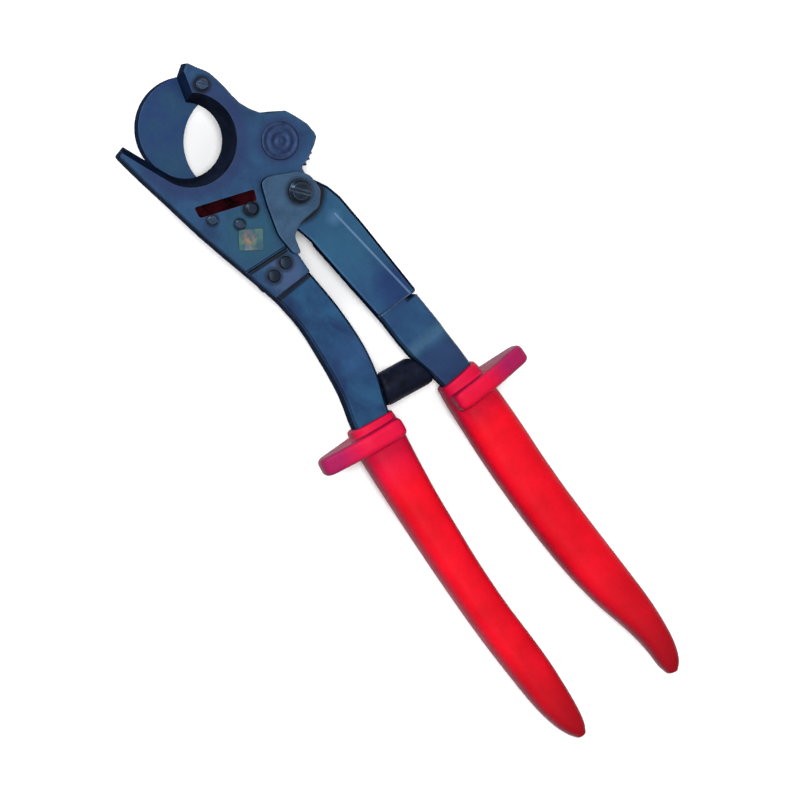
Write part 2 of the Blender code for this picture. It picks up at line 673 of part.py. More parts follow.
def grip(name, outer, inner, half_t, guard_side, guard_at, guard_near, guard_len, guard_move, arm_outer, arm_inner, arm_z):
    """Sleeve lofted between its outer and inner edge lines, with a hand guard."""
    rings = []
    count = len(outer)
    mids = [(Vector(a) + Vector(b)) / 2 for a, b in zip(outer, inner)]
    for i in range(count):
        ahead = (mids[min(i + 1, count - 1)] - mids[max(i - 1, 0)]).normalized()
        width = (Vector(outer[i]) - Vector(inner[i])).length / 2
        rings.append(section(mids[i], ahead, width, half_t[i], GRIP_MID_Z))
    obj = new_object(name, loft_mesh(rings), RED_VINYL, pivot=(mids[0].x, mids[0].y, GRIP_MID_Z))
    # guard: a thick fin square to the handle, standing proud all round the sleeve
    centre = mids[guard_at]
    ahead = (mids[guard_at + 1] - mids[guard_at - 1]).normalized()
    side = Vector((-ahead.y, ahead.x)) * guard_side
    centre = centre + ahead * guard_move
    near, far = guard_near, guard_len
    top, low = 7.2, FLOOR_Z
    fin = []
    for u, z in rounded(
        [(near, -11.5), (-2.6, low), (7.0, low), (far - 6.0, GRIP_MID_Z - 7.0), (far, GRIP_MID_Z - 4.0), (far, GRIP_MID_Z + 4.0), (far - 6.0, GRIP_MID_Z + 6.5), (7.0, top), (near, top)],
        3.6,
        3,
    ):
        fin.append((u, z))
    rings = []
    for step in (-3.3, 3.3):
        ring = []
        for u, z in fin:
            where = centre + side * u + ahead * step
            ring.append((where.x, where.y, z))
        rings.append(ring)
    guard = new_object(name + "_guard", loft_mesh(rings), None)
    soften(guard, 1.1)
    add(obj, guard)
    pocket_outline = arm_outer + arm_inner[::-1]
    pocket = new_object(name + "_pocket_cutter", prism_mesh(pocket_outline, arm_z[0] - GAP, arm_z[1] + GAP), None)
    cut(obj, pocket)
    return obj


def offset_line(points, distance):
    """The open line moved sideways, to its left when distance is positive."""
    out = []
    for i, p in enumerate(points):
        ahead = Vector(points[min(i + 1, len(points) - 1)]) - Vector(points[max(i - 1, 0)])
        ahead.normalize()
        out.append((p[0] - ahead.y * distance, p[1] + ahead.x * distance))
    return out


def after(points, x_from):
    return [p for p in points if p[0] < x_from]


FIX_GRIP_OUT = [(-94.6, 40.2), (-98.0, 41.2), (-102.6, 42.0), (-112.0, 42.9), (-127.0, 44.2), (-142.0, 45.3), (-158.0, 46.3), (-174.0, 47.0), (-188.0, 47.2), (-199.0, 47.1), (-208.6, 46.8), (-217.0, 45.7), (-223.0, 43.8), (-226.6, 41.6)]
FIX_GRIP_IN = [(-96.9, 24.0), (-100.6, 24.3), (-105.4, 25.1), (-115.0, 26.9), (-129.0, 29.2), (-143.0, 30.9), (-159.0, 32.6), (-174.6, 33.5), (-188.0, 33.6), (-198.6, 33.9), (-208.0, 34.7), (-216.0, 35.7), (-222.4, 37.0), (-226.6, 39.0)]
FIX_T = [6.9, 7.1, 7.2, 7.2, 7.2, 7.2, 7.1, 7.0, 6.8, 6.4, 5.9, 5.3, 4.5, 3.0]
MOV_GRIP_OUT = [(-102.4, -8.9), (-105.2, -9.2), (-109.2, -9.4), (-117.0, -9.5), (-130.0, -8.9), (-142.0, -8.0), (-156.0, -7.4), (-170.0, -7.2), (-182.0, -7.2), (-194.0, -7.2), (-204.0, -7.1), (-212.0, -6.5), (-220.0, -5.2), (-226.2, -2.9), (-230.0, 0.2)]
MOV_GRIP_IN = [(-102.4, 6.1), (-105.0, 6.3), (-109.0, 6.9), (-117.0, 7.7), (-130.0, 8.9), (-142.0, 9.6), (-156.0, 10.0), (-170.0, 9.9), (-182.0, 9.3), (-193.0, 7.9), (-203.0, 5.9), (-211.6, 4.4), (-220.0, 3.8), (-226.4, 4.0), (-230.2, 3.2)]
MOV_T = [6.9, 7.1, 7.2, 7.2, 7.2, 7.2, 7.2, 7.1, 7.0, 6.8, 6.4, 5.9, 5.2, 4.2, 2.6]

fixed_pocket_outer = [(-80.0, 40.0), (-95.0, 39.0)] + after(offset_line(through(FIXED_OUTER, 3), -GAP), -95.5) + [(-196.3, 44.2)]
fixed_pocket_inner = [(-80.0, 15.0), (-95.0, 24.0)] + after(offset_line(through(FIXED_INNER, 3), GAP), -95.5) + [(-196.3, 36.4)]
grip("fixed_grip", FIX_GRIP_OUT, FIX_GRIP_IN, FIX_T, -1, 2, -8.3, 22.4, -2.4, fixed_pocket_outer, fixed_pocket_inner, FIXED_ARM_Z)

moving_pocket_outer = [(-80.0, -9.0), (-99.0, -7.9)] + after(offset_line(through(MOVING_OUTER, 3), GAP), -99.0) + [(-190.3, -3.8)]
moving_pocket_inner = [(-80.0, 9.0), (-99.0, 5.6)] + after(offset_line(through(MOVING_INNER, 3), -GAP), -99.0) + [(-190.3, 6.2)]
grip("moving_grip", MOV_GRIP_OUT, MOV_GRIP_IN, MOV_T, 1, 2, -7.4, 24.0, 0.6, moving_pocket_outer, moving_pocket_inner, (ARM_BAR_Z[0] - 1.0, ARM_BAR_Z[1] - 1.0))

# ---------------------------------------------------------------- release knob
RELEASE_AT = (Vector(HOLD_PIN) * 0.52 + Vector(HOLD_TIP) * 0.48)
release = new_object(
    "release_knob",
    turned_mesh(
        RELEASE_AT.x,
        RELEASE_AT.y,
        [(0, -6.1), (1.3, -6.1), (1.3, -12.4), (2.6, -12.4), (3.0, -13.0), (3.0, -15.2), (2.4, -15.8), (0, -15.8)],
        20,
    ),
    PIN_STEEL,
    pivot=(*HOLD_PIN, 0),
)
reach = (RELEASE_AT - Vector(HOLD_PIN)).length
face = math.degrees(math.atan2(RELEASE_AT.y - HOLD_PIN[1], RELEASE_AT.x - HOLD_PIN[0]))
slot_arc = arc(HOLD_PIN, reach + 1.65, face - 38, face + 22, 8) + arc(HOLD_PIN, reach - 1.65, face + 22, face - 38, 8)
cut(rear_plate, new_object("release_slot_cutter", prism_mesh(slot_arc, -14, -8), None))
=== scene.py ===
"""Looks for the ratcheting cable cutter: visual pieces, finishes, floor, light and camera."""

import json
import math

import bmesh
import bpy
from mathutils import Matrix, Vector

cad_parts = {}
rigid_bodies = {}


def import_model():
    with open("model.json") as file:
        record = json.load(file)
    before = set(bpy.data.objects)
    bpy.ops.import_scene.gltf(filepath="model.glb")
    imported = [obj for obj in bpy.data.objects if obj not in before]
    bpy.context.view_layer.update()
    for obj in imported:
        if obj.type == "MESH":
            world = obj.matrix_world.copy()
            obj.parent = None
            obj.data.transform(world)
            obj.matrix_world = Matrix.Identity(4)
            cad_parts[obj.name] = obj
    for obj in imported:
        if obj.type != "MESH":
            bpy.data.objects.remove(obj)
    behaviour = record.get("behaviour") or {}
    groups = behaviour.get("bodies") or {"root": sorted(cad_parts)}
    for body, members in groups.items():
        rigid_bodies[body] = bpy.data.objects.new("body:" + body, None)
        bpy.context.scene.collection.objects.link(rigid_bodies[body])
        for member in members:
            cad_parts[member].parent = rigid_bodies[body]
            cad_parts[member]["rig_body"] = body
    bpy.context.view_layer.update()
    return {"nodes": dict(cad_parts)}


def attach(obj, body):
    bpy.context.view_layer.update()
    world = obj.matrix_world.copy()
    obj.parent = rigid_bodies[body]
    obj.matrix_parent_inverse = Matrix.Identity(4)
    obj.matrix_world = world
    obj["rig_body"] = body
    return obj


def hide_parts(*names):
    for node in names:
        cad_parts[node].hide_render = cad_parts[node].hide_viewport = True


for old in list(bpy.data.objects):
    bpy.data.objects.remove(old, do_unlink=True)

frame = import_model()

MM = 0.001
SHIFT = Vector((95.0, -15.185, 16.5))
JAW_C = (19.4, 24.2)
GRIP_MID_Z = -4.3
FLOOR_Z = -16.5
NODES = frame["nodes"]


def place(x, y, z):
    return (Vector((x, y, z)) + SHIFT) * MM


def lin(r, g, b):
    """An sRGB colour, 0 to 255, as linear RGBA."""
    out = []
    for c in (r / 255, g / 255, b / 255):
        out.append(c / 12.92 if c <= 0.04045 else ((c + 0.055) / 1.055) ** 2.4)
    return (*out, 1.0)


# ------------------------------------------------------------------ finishes
class Shade:
    """A material's node tree, built a few nodes at a time."""

    def __init__(self, name):
        self.material = bpy.data.materials.new(name)
        self.material.use_nodes = True
        self.tree = self.material.node_tree
        self.shader = self.tree.nodes["Principled BSDF"]
        self.place = self.tree.nodes.new("ShaderNodeTexCoord").outputs["Object"]

    def node(self, kind, **settings):
        made = self.tree.nodes.new("ShaderNode" + kind)
        for key, value in settings.items():
            setattr(made, key, value)
        return made

    def link(self, a, b):
        self.tree.links.new(a, b)

    def scaled(self, scale, turn=0.0):
        mapping = self.node("Mapping")
        mapping.inputs["Scale"].default_value = scale
        mapping.inputs["Rotation"].default_value = (0, 0, turn)
        self.link(self.place, mapping.inputs["Vector"])
        return mapping.outputs["Vector"]

    def noise(self, scale, detail=4.0, rough=0.55, vector=None, distortion=0.0):
        made = self.node("TexNoise")
        made.inputs["Scale"].default_value = scale
        made.inputs["Detail"].default_value = detail
        made.inputs["Roughness"].default_value = rough
        made.inputs["Distortion"].default_value = distortion
        self.link(vector or self.place, made.inputs["Vector"])
        return made.outputs["Fac"]

    def ramp(self, value, stops):
        made = self.node("ValToRGB")
        elements = made.color_ramp.elements
        while len(elements) < len(stops):
            elements.new(0.5)
        for element, (position, colour) in zip(elements, stops):
            element.position = position
            element.color = colour
        self.link(value, made.inputs["Fac"])
        return made.outputs["Color"]

    def span(self, value, low, high, to_low, to_high):
        made = self.node("MapRange")
        for key, number in (("From Min", low), ("From Max", high), ("To Min", to_low), ("To Max", to_high)):
            made.inputs[key].default_value = number
        self.link(value, made.inputs["Value"])
        return made.outputs["Result"]

    def math(self, operation, a, b):
        made = self.node("Math", operation=operation)
        for socket, value in zip(made.inputs, (a, b)):
            if isinstance(value, (int, float)):
                socket.default_value = value
            else:
                self.link(value, socket)
        return made.outputs["Value"]

    def mix(self, factor, a, b, blend="MIX"):
        made = self.node("Mix", data_type="RGBA", blend_type=blend)
        for key, value in ((0, factor), (6, a), (7, b)):
            if isinstance(value, (int, float, tuple)):
                made.inputs[key].default_value = value
            else:
                self.link(value, made.inputs[key])
        return made.outputs[2]

    def bump(self, height, strength, distance):
        made = self.node("Bump")
        made.inputs["Strength"].default_value = strength
        made.inputs["Distance"].default_value = distance
        self.link(height, made.inputs["Height"])
        self.link(made.outputs["Normal"], self.shader.inputs["Normal"])
        return made

    def edges(self, radius):
        """About 0 on flat metal and 1 on a worn corner."""
        soft = self.node("Bevel", samples=4)
        soft.inputs["Radius"].default_value = radius
        true = self.node("NewGeometry")
        dot = self.node("VectorMath", operation="DOT_PRODUCT")
        self.link(soft.outputs["Normal"], dot.inputs[0])
        self.link(true.outputs["Normal"], dot.inputs[1])
        return self.span(dot.outputs["Value"], 0.995, 0.86, 0.0, 1.0)

    def near(self, x, y, low, high):
        """1 near a line along Z at the drawing point (x, y), 0 past high millimetres."""
        flat = self.node("VectorMath", operation="MULTIPLY")
        flat.inputs[1].default_value = (1, 1, 0)
        self.link(self.place, flat.inputs[0])
        far = self.node("VectorMath", operation="DISTANCE")
        at = place(x, y, 0)
        far.inputs[1].default_value = (at.x, at.y, 0)
        self.link(flat.outputs["Vector"], far.inputs[0])
        return self.span(far.outputs["Value"], low * MM, high * MM, 1.0, 0.0)


STEEL_GAIN = (0.33, 0.38, 0.47)


def dim(colour):
    """A steel's own colour for the look that colour has under this bright light."""
    return (*[c * g for c, g in zip(colour, STEEL_GAIN)], 1.0)


def band(shade, middle, half, soft):
    """1 within half millimetres of the drawing position middle along X, fading over soft."""
    split = shade.node("SeparateXYZ")
    shade.link(shade.place, split.inputs["Vector"])
    off = shade.math("ABSOLUTE", shade.math("SUBTRACT", split.outputs["X"], place(middle, 0, 0).x), 0.0)
    return shade.span(off, half * MM, (half + soft) * MM, 1.0, 0.0)


def stripe(shade, start, end, half, soft):
    """1 on the drawing line from start to end, fading past half millimetres."""
    a, b = place(*start, 0), place(*end, 0)
    along = (b - a).normalized()
    side = Vector((-along.y, along.x, 0))

    def offset(direction, middle):
        made = shade.node("VectorMath", operation="DOT_PRODUCT")
        made.inputs[1].default_value = direction
        shade.link(shade.place, made.inputs[0])
        return shade.math("ABSOLUTE", shade.math("SUBTRACT", made.outputs["Value"], middle), 0.0)

    across = shade.span(offset(side, a.dot(side)), half * MM, (half + soft) * MM, 1.0, 0.0)
    reach = (b - a).length / 2
    ends = shade.span(offset(along, (a + b).dot(along) / 2), reach, reach + soft * MM, 1.0, 0.0)
    return shade.math("MULTIPLY", across, ends)


def oxide_steel(name, dark, light, rough=(0.34, 0.52), metallic=0.8, brush=0.0, wear=0.5, mottle=110.0, tints=(), bands=(), stripes=(), shine=0.5, ior=1.5):
    s = Shade(name)
    dark, light = dim(dark), dim(light)
    tints = [(dim(tint), where, amount) for tint, where, amount in tints]
    bands = [(dim(tint), where, amount) for tint, where, amount in bands]
    big = s.noise(mottle, 5.0, 0.6, distortion=0.4)
    colour = s.ramp(big, [(0.34, dark), (0.66, light)])
    for tint, (x, y, low, high), amount in tints:
        where = s.near(x, y, low, high)
        where = s.math("MULTIPLY", where, amount)
        colour = s.mix(where, colour, tint)
    for tint, (middle, half, soft), amount in bands:
        colour = s.mix(s.math("MULTIPLY", band(s, middle, half, soft), amount), colour, tint)
    for tint, where, amount in stripes:
        colour = s.mix(s.math("MULTIPLY", stripe(s, *where), amount), colour, dim(tint))
    grain = s.noise(1500.0, 3.0, 0.6)
    colour = s.mix(0.22, colour, s.ramp(grain, [(0.3, (0.35, 0.35, 0.35, 1)), (0.7, (1, 1, 1, 1))]), "MULTIPLY")
    height = grain
    if brush:
        lines = s.noise(1.0, 3.0, 0.6, s.scaled((160, 5200, 900), brush))
        colour = s.mix(0.25, colour, s.ramp(lines, [(0.3, (0.4, 0.4, 0.4, 1)), (0.7, (1, 1, 1, 1))]), "MULTIPLY")
        height = s.math("ADD", s.math("MULTIPLY", grain, 0.5), lines)
    if wear:
        worn = s.math("MULTIPLY", s.edges(0.0007), s.span(s.noise(420.0, 4.0, 0.7), 0.35, 0.65, 0.15, 1.0))
        worn = s.math("MULTIPLY", worn, wear)
        colour = s.mix(worn, colour, dim(lin(150, 165, 178)))
    s.link(colour, s.shader.inputs["Base Color"])
    s.link(s.span(s.noise(260.0, 4.0, 0.6), 0.3, 0.7, *rough), s.shader.inputs["Roughness"])
    s.shader.inputs["Metallic"].default_value = metallic
    s.shader.inputs["Specular IOR Level"].default_value = shine
    s.shader.inputs["IOR"].default_value = ior
    s.bump(height, 0.22, 0.00012)
    return s.material


GUARDS = [(-97.0, 52.9), (-108.9, -19.9)]


def vinyl(name):
    s = Shade(name)
    broad = s.noise(55.0, 4.0, 0.55, distortion=0.3)
    colour = s.ramp(broad, [(0.32, lin(168, 2, 18)), (0.68, lin(192, 5, 26))])
    # darker toward the toes
    split = s.node("SeparateXYZ")
    s.link(s.place, split.inputs["Vector"])
    toe = s.span(split.outputs["X"], place(-186, 0, 0).x, place(-226, 0, 0).x, 0.0, 0.72)
    colour = s.mix(toe, colour, lin(92, 4, 14))
    head = s.span(split.outputs["X"], place(-122, 0, 0).x, place(-106, 0, 0).x, 0.0, 0.5)
    colour = s.mix(head, colour, lin(168, 12, 62))
    # painted shade: purple-dark round the guards, for their shaded undersides and the shadows they cast on the grips
    for x, y in GUARDS:
        colour = s.mix(s.math("MULTIPLY", s.near(x, y, 4.0, 13.0), 0.75), colour, lin(112, 22, 72))
    # painted shade: the grip's steep sides turn dark purple
    turned = s.node("NewGeometry")
    slope = s.node("SeparateXYZ")
    s.link(turned.outputs["Normal"], slope.inputs["Vector"])
    painted_side_shade = s.span(slope.outputs["Z"], 0.75, 0.2, 0.0, 0.75)
    colour = s.mix(painted_side_shade, colour, lin(78, 6, 38))
    speck = s.noise(900.0, 4.0, 0.6)
    colour = s.mix(0.14, colour, s.ramp(speck, [(0.35, (0.5, 0.45, 0.45, 1)), (0.6, (1, 1, 1, 1))]), "MULTIPLY")
    s.link(colour, s.shader.inputs["Base Color"])
    s.link(s.span(s.noise(140.0, 4.0, 0.6), 0.3, 0.7, 0.40, 0.56), s.shader.inputs["Roughness"])
    s.shader.inputs["Specular IOR Level"].default_value = 0.06
    cells = s.node("TexVoronoi", feature="F1")
    cells.inputs["Scale"].default_value = 1500.0
    s.link(s.place, cells.inputs["Vector"])
    height = s.math("ADD", s.math("MULTIPLY", cells.outputs["Distance"], 0.6), s.noise(420.0, 4.0, 0.6))
    s.bump(height, 0.16, 0.00018)
    return s.material


def rubber(name):
    s = Shade(name)
    colour = s.ramp(s.noise(260.0, 5.0, 0.6), [(0.3, lin(5, 8, 16)), (0.7, lin(16, 20, 36))])
    s.link(colour, s.shader.inputs["Base Color"])
    s.link(s.span(s.noise(500.0, 3.0, 0.6), 0.3, 0.7, 0.34, 0.55), s.shader.inputs["Roughness"])
    s.shader.inputs["Specular IOR Level"].default_value = 0.3
    s.shader.inputs["IOR"].default_value = 1.15
    s.bump(s.noise(1400.0, 3.0, 0.6), 0.3, 0.00015)
    return s.material


def label(name):
    """A faded, unreadable colour label: soft blocks of amber, rust and green on grey film."""
    s = Shade(name)
    cells = s.node("TexVoronoi", feature="F1")
    cells.inputs["Scale"].default_value = 420.0
    s.link(s.place, cells.inputs["Vector"])
    tone = s.node("SeparateColor")
    s.link(cells.outputs["Color"], tone.inputs["Color"])
    colour = s.ramp(
        tone.outputs["Red"],
        [(0.0, lin(30, 60, 78)), (0.3, lin(56, 84, 76)), (0.5, lin(36, 72, 70)), (0.68, lin(92, 72, 58)), (0.85, lin(64, 44, 62)), (1.0, lin(84, 96, 104))],
    )
    patch = s.noise(300.0, 4.0, 0.6)
    colour = s.mix(s.span(patch, 0.40, 0.56, 0.0, 0.85), colour, lin(34, 60, 78))
    amber = s.math("MULTIPLY", s.near(-19.2, 29.2, 0.4, 3.2), s.span(s.noise(620.0, 4.0, 0.65), 0.4, 0.6, 0.05, 0.8))
    colour = s.mix(amber, colour, lin(128, 86, 66))
    s.link(colour, s.shader.inputs["Base Color"])
    s.link(s.span(patch, 0.3, 0.7, 0.4, 0.6), s.shader.inputs["Roughness"])
    s.shader.inputs["Specular IOR Level"].default_value = 0.15
    s.bump(s.noise(1600.0, 3.0, 0.6), 0.1, 0.0001)
    return s.material


JAW = oxide_steel(
    "jaw_steel_oxide", lin(40, 74, 106), lin(54, 96, 130), wear=0.2,
    tints=(
        (lin(50, 104, 120), (-19.0, 27.0, 7.0, 14.0), 0.75),
        (lin(84, 106, 138), (-36.0, 26.5, 5.0, 7.5), 0.85),
        (lin(50, 62, 104), (*JAW_C, 18.5, 21.5), 0.7),
        # painted shade: dark rings round the main bolt head and round the smaller screw, pin and rivet heads
        (lin(52, 64, 104), (0.0, 0.0, 7.0, 9.0), 0.6),
        (lin(16, 20, 30), (31.8, 9.6, 2.7, 3.9), 0.9),
        (lin(14, 20, 30), (-11.7, 22.3, 2.6, 3.8), 0.8),
        (lin(18, 24, 34), (-13.4, 28.6, 2.0, 2.9), 0.7),
        (lin(18, 24, 34), (-6.4, 35.2, 2.0, 2.9), 0.7),
        (lin(18, 24, 34), (-33.4, 24.2, 2.9, 3.8), 0.6),
        (lin(18, 24, 34), (-34.5, 30.2, 2.9, 3.8), 0.6),
    ),
    stripes=(
        # painted shade: near-black lines along the step past the label and along the body's lower end, where the raised
        # plates shade what lies below
        (lin(6, 8, 14), ((-28.6, 36.1), (-30.3, 21.3), 0.45, 0.5), 0.95),
        (lin(6, 8, 14), ((-41.6, 34.5), (-41.9, 17.5), 0.5, 0.5), 0.9),
    ),
)
# painted shade: the jaw opening's inner wall is made dark and matt
JAW_WALL_PAINTED_SHADE = oxide_steel("jaw_wall_painted_shade", lin(20, 24, 34), lin(34, 40, 54), rough=(0.6, 0.8), metallic=0.0, wear=0.0, shine=0.5, ior=1.02)
# painted shade: the slot's floor and walls are nearly black, with a red-brown tone
SLOT_PAINTED_SHADE = oxide_steel("slot_wall_painted_shade", lin(14, 8, 12), lin(96, 26, 32), rough=(0.6, 0.8), metallic=0.0, wear=0.0, mottle=160.0, ior=1.03)
# painted shade: a dark matt steel for the upright side walls of plates and arms
SIDE_WALL_PAINTED_SHADE = oxide_steel("side_wall_painted_shade", lin(14, 26, 46), lin(26, 44, 68), rough=(0.5, 0.7), metallic=0.0, wear=0.0, ior=1.02)
BLADE = oxide_steel("blade_steel_blued", lin(36, 66, 116), lin(44, 86, 112), rough=(0.36, 0.48), wear=0.12, mottle=70.0)
ARM = oxide_steel(
    "arm_steel_oxide", lin(38, 76, 118), lin(58, 110, 144), brush=0.02, wear=0.35, mottle=60.0,
    tints=(
        # painted highlight: a broad lighter teal patch on the channel below the cheek
        (lin(60, 122, 146), (-39.9, 0.7, 9.0, 22.0), 0.6),
        (lin(32, 62, 118), (-64.6, -2.0, 4.0, 10.0), 0.7),
        # painted highlight: a small bright spot at the channel's upper corner
        (lin(112, 156, 190), (-33.0, 0.2, 0.3, 3.6), 0.55),
        # painted shadow: a near-black ring round the handle pivot, where the cheek plate shades the channel
        (lin(10, 14, 22), (-17.2, 5.9, 10.4, 12.4), 0.95),
    ),
    # painted highlight and painted shade: a light band where the arm's face bends, then a darker band below it
    bands=((lin(96, 138, 160), (-86.2, 0.9, 2.6), 0.6), (lin(46, 68, 108), (-96.0, 5.0, 4.0), 0.7)),
    stripes=(
        # painted highlight: light lines along the outer edge and across the step near the grip
        (lin(160, 190, 216), ((-32.0, -1.0), (-69.4, -4.9), 0.12, 0.4), 0.6),
        (lin(176, 200, 222), ((-69.3, 9.6), (-70.0, -5.2), 0.2, 0.35), 0.75),
    ),
)
ARM_FIXED = oxide_steel(
    "fixed_arm_steel_oxide", lin(28, 62, 104), lin(50, 106, 142), brush=0.04, wear=0.3, mottle=95.0,
    tints=((lin(70, 120, 168), (-74.0, 24.0, 3.0, 10.0), 0.35),),
    # painted shadow: a dark line on the fixed arm just below the body's end
    stripes=((lin(8, 10, 16), ((-42.8, 34.5), (-42.8, 16.0), 0.9, 0.6), 0.85),),
)
PLATE = oxide_steel("plate_steel_oxide", lin(56, 86, 110), lin(78, 110, 132), rough=(0.42, 0.58), wear=0.3,
    # painted shade: a dark ring round the handle pivot screw's head
    tints=((lin(16, 22, 30), (-17.2, 5.9, 4.0, 5.6), 0.85),))
SCREW = oxide_steel("screw_steel_dark", lin(16, 22, 32), lin(44, 60, 76), rough=(0.32, 0.48), metallic=0.85, wear=0.7)
PIN = oxide_steel("pin_steel_dark", lin(36, 50, 66), lin(66, 88, 110), rough=(0.32, 0.48), metallic=0.85, wear=0.5)
PIVOT = oxide_steel("pivot_face_dark", lin(38, 54, 92), lin(52, 78, 112), rough=(0.4, 0.6), metallic=0.8, wear=0.15, mottle=420.0)
SPRING = oxide_steel("spring_steel_bright", lin(120, 124, 130), lin(165, 168, 172), rough=(0.22, 0.35), metallic=1.0, wear=0.0)
BRONZE = oxide_steel("bronze_bush", lin(120, 88, 48), lin(168, 128, 72), metallic=1.0, wear=0.0)
VINYL = vinyl("red_vinyl_grip")
RUBBER = rubber("black_rubber_bumper")
LABEL = label("faded_label_film")


# ------------------------------------------------------------------ pieces
def clean_copy(node):
    """The CAD node's shape with its flat faces whole again."""
    bm = bmesh.new()
    bm.from_mesh(NODES[node].data)
    bmesh.ops.remove_doubles(bm, verts=bm.verts, dist=2e-6)
    bmesh.ops.dissolve_limit(
        bm, angle_limit=math.radians(0.6), use_dissolve_boundaries=False, verts=bm.verts, edges=bm.edges
    )
    return bm


def link_piece(name, bm, node, materials, smooth=40.0):
    mesh = bpy.data.meshes.new(name)
    bm.to_mesh(mesh)
    bm.free()
    mesh.shade_smooth()
    mesh.set_sharp_from_angle(angle=math.radians(smooth))
    for material in materials:
        mesh.materials.append(material)
    obj = bpy.data.objects.new(name, mesh)
    bpy.context.scene.collection.objects.link(obj)
    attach(obj, NODES[node]["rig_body"])
    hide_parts(node)
    return obj


def round_edges(obj, width, segments=3, angle=32.0):
    bevel = obj.modifiers.new("round", "BEVEL")
    bevel.width = width * MM
    bevel.segments = segments
    bevel.limit_method = "ANGLE"
    bevel.angle_limit = math.radians(angle)
    bevel.harden_normals = False
    bevel.use_clamp_overlap = True
    normals = obj.modifiers.new("normals", "WEIGHTED_NORMAL")
    normals.keep_sharp = False
    normals.weight = 60
    return obj


def refine(name, node, materials, width=0.25, segments=3, angle=32.0, choose=None, outer=0.0, head=1.0, convex=False):
    if not isinstance(materials, (list, tuple)):
        materials = [materials]
    bm = clean_copy(node)
    if outer:
        widen_outer_edge(bm, outer)
    if head != 1.0:
        shrink_head(bm, head)
    if node == "moving_arm_channel":
        ease_heel(bm)
    for face in bm.faces:
        face.material_index = choose(face) if choose else 0
        face.smooth = True
    if convex:
        weight = bm.edges.layers.float.new("bevel_weight_edge")
        for edge in bm.edges:
            if len(edge.link_faces) == 2 and edge.is_convex and edge.calc_face_angle() > math.radians(angle):
                edge[weight] = 1.0
    obj = link_piece(name, bm, node, materials, 60.0)
    if width:
        round_edges(obj, width, segments, angle)
        if convex:
            obj.modifiers["round"].limit_method = "WEIGHT"
    return obj


def inside(outline, p):
    hit = False
    for (ax, ay), (bx, by) in zip(outline, outline[1:] + outline[:1]):
        if (ay > p[1]) != (by > p[1]) and p[0] < (bx - ax) * (p[1] - ay) / (by - ay) + ax:
            hit = not hit
    return hit


SLOT = [(1.3, 37.9), (-7.1, 16.7), (-11.5, 18.8), (-3.5, 38.9)]


def in_jaw(face):
    """0 plain, 1 the jaw opening's wall (painted shade), 2 the long slot (painted shade), 3 another wall (painted
    shade).
    """
    c = face.calc_center_median() / MM - SHIFT
    if inside(SLOT, (c.x, c.y)) and 2.4 < c.z < 8.3:
        return 2
    if abs(face.normal.z) < 0.6 and c.z > 0 and math.dist((c.x, c.y), JAW_C) < 16.4:
        return 1
    return 3 * walls(face)


def walls(face):
    """1 on the upright faces round a plate's outline, which take the painted-shade wall steel, 0 on its faces."""
    return int(abs(face.normal.z) < 0.5)


def ease_heel(bm):
    """Draws the channel's heel a little toward the handle pivot, so that it swings clear of the body."""
    pivot = place(-17.2, 5.9, 0)
    low, high = place(-20.0, -9.0, 0), place(-13.4, 0.0, 0)
    for v in bm.verts:
        if low.x < v.co.x < high.x and low.y < v.co.y < high.y:
            pull = Vector((pivot.x - v.co.x, pivot.y - v.co.y, 0)).normalized()
            v.co += pull * 0.45 * MM


def shrink_head(bm, share):
    """Draws a rivet's front head in toward its axis."""
    middle = sum((v.co for v in bm.verts), Vector()) / len(bm.verts)
    for v in bm.verts:
        if v.co.z > place(0, 0, 8.6).z and math.hypot(v.co.x - middle.x, v.co.y - middle.y) > 2.05 * MM:
            v.co.x = middle.x + (v.co.x - middle.x) * share
            v.co.y = middle.y + (v.co.y - middle.y) * share


def widen_outer_edge(bm, amount):
    """Draws the top face's outer border inward, for a broad sloping edge on the handle's outer side."""
    moved = set()
    for face in bm.faces:
        if face.normal.z < 0.9 or face.calc_area() < 3e-6:
            continue
        for v in face.verts:
            lean = Vector((0, 0, 0))
            for other in v.link_faces:
                if abs(other.normal.z) < 0.85:
                    lean += other.normal
            if lean.length > 0 and lean.normalized().y < -0.8:
                moved.add(v)
    for v in moved:
        v.co.y += amount * MM


refine("jaw_forging", "fixed_blade", [JAW, JAW_WALL_PAINTED_SHADE, SLOT_PAINTED_SHADE, SIDE_WALL_PAINTED_SHADE], 0.45, 3, 34.0, in_jaw, convex=True)
refine("sickle_blade", "moving_blade", [BLADE, SIDE_WALL_PAINTED_SHADE], 0.3, 3, 34.0, walls)
refine("cheek_stamping", "front_cheek_plate", [PLATE, SIDE_WALL_PAINTED_SHADE], 0.35, 3, choose=walls)
refine("rear_plate_stamping", "rear_side_plate", [PLATE, SIDE_WALL_PAINTED_SHADE], 0.3, 2, choose=walls)
refine("fixed_arm_bar", "fixed_arm", [ARM_FIXED, SIDE_WALL_PAINTED_SHADE], 0.5, 3, choose=walls)
refine("moving_arm_bar", "moving_arm", [ARM, SIDE_WALL_PAINTED_SHADE], 0.2, 2, choose=walls, outer=1.0)
refine("moving_channel_fold", "moving_arm_channel", [ARM, SIDE_WALL_PAINTED_SHADE], 0.15, 2, choose=walls, outer=0.9, convex=True)


